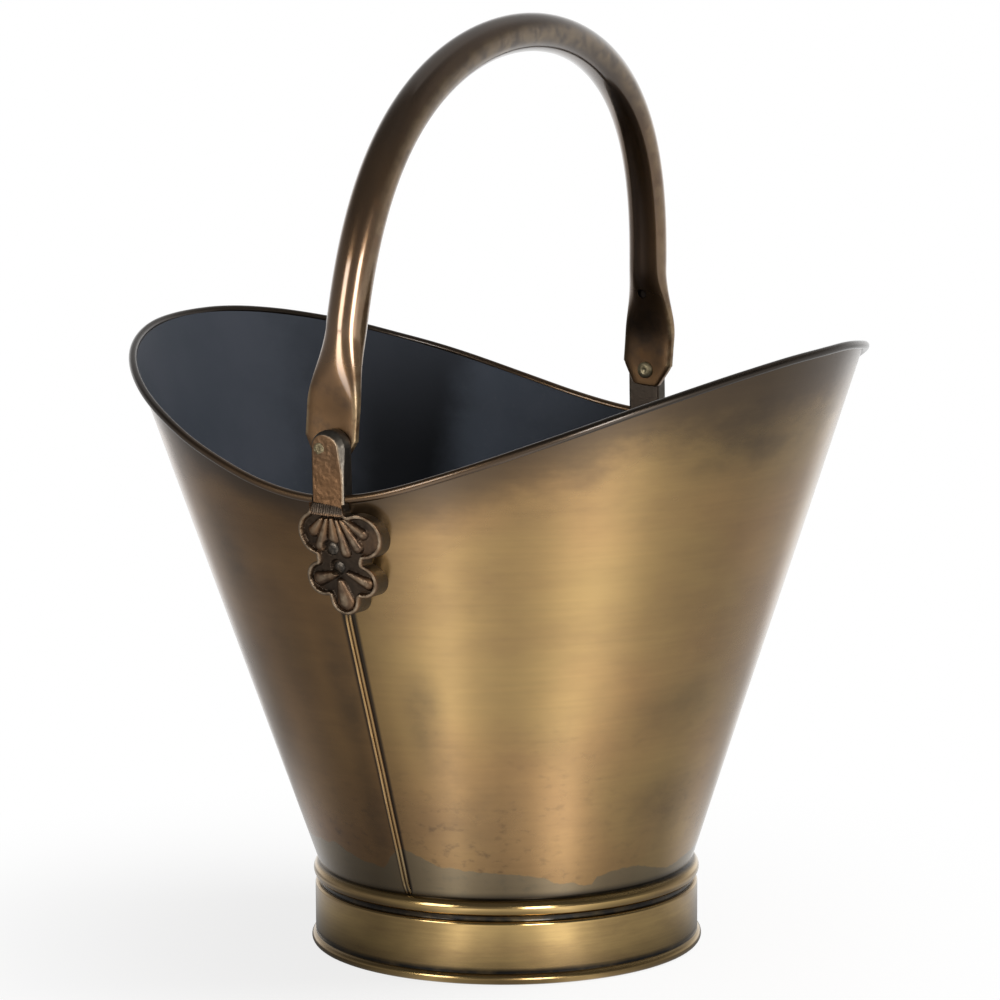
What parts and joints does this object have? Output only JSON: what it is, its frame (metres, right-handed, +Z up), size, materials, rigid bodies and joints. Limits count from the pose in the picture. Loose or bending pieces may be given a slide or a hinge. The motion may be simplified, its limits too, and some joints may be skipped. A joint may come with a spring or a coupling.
{
  "type": "coal scuttle",
  "caption": "Flared bucket with high front and rear lips, a banded foot ring and a hollow arched bail handle that swings on riveted cast brackets.",
  "frame": {"origin": "on the ground, midway between the front and rear lips and between the two brackets", "axes": "+X to the front lip, +Y to the left bracket as seen when facing the front lip, along the handle's pivots, +Z up"},
  "size_m": [0.3822, 0.347, 0.4759],
  "materials": {
    "body_sheet": "antique brass patina outside, dark satin paint inside",
    "wire": "plain drawn wire, hidden in the rolled edges",
    "floor": "dark satin paint",
    "foot": "antique brass patina",
    "casting": "rough cast, dark copper-brown patina with worn edges",
    "dark_rivet": "blackened",
    "pivot_rivet": "pale worn metal",
    "handle_tube": "dark bronze patina, polished by handling"
  },
  "bodies": {
    "bucket": {"front_shell": "body_sheet", "rear_shell": "body_sheet", "front_rim_wire": "wire", "rear_rim_wire": "wire", "floor_pan": "floor", "foot_band": "foot", "foot_wire": "wire", "right_bracket": "casting", "left_bracket": "casting", "right_bracket_rivets": "dark_rivet", "left_bracket_rivets": "dark_rivet", "right_pivot_rivet": "pivot_rivet", "left_pivot_rivet": "pivot_rivet"},
    "handle": {"handle": "handle_tube"}
  },
  "joints": [
    {"name": "handle_swing", "type": "hinge", "parent": "bucket", "child": "handle", "pos_m": [0.00089, 0, 0.27677], "axis": [0, 1, 0], "range_deg": [-79, 69]}
  ]
}
